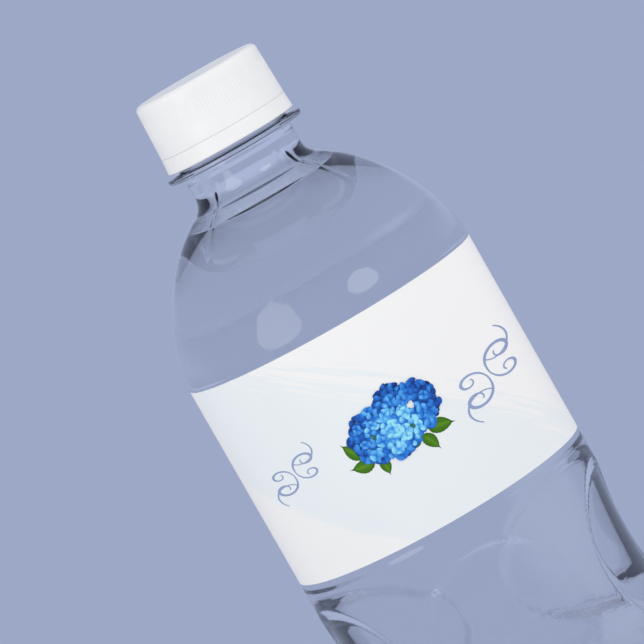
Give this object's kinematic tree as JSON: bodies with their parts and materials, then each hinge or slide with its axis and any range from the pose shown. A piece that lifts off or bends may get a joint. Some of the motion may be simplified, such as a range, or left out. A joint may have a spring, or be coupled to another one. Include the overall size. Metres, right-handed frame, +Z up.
{
  "type": "water bottle",
  "caption": "Clear full drinking-water bottle with a domed shoulder, pressed grip dimples, a screw cap over a tamper band and a printed wrap-around label.",
  "frame": {"origin": "centre of the foot, on the surface that the bottle stands on", "axes": "+Z up along the bottle's axis to the cap; -Y towards the front, where one grip dimple and the label's flowers are; +X to the right of the front"},
  "size_m": [0.0678, 0.0679, 0.1897],
  "materials": {
    "clear_plastic": "gloss",
    "water": "gloss",
    "white_plastic": "satin",
    "liner_foam": "matte",
    "label_film": "satin"
  },
  "bodies": {
    "bottle": {"bottle": "clear_plastic", "tamper_band": "white_plastic", "label": "label_film", "water": "water"},
    "liner": {"cap_liner": "liner_foam"},
    "cap": {"cap": "white_plastic"}
  },
  "joints": [
    {"name": "cap_rise", "type": "slide", "parent": "bottle", "child": "liner", "axis": [0, 0, 1], "range_m": [0, 0.0041]},
    {"name": "cap_turn", "type": "hinge", "parent": "liner", "child": "cap", "pos_m": [0, 0, 0.178], "axis": [0, 0, 1], "range_deg": [0, 540]}
  ],
  "couplings": [
    {"joint": "cap_rise", "follows": "cap_turn", "m_per_rad": 0.00042972}
  ]
}
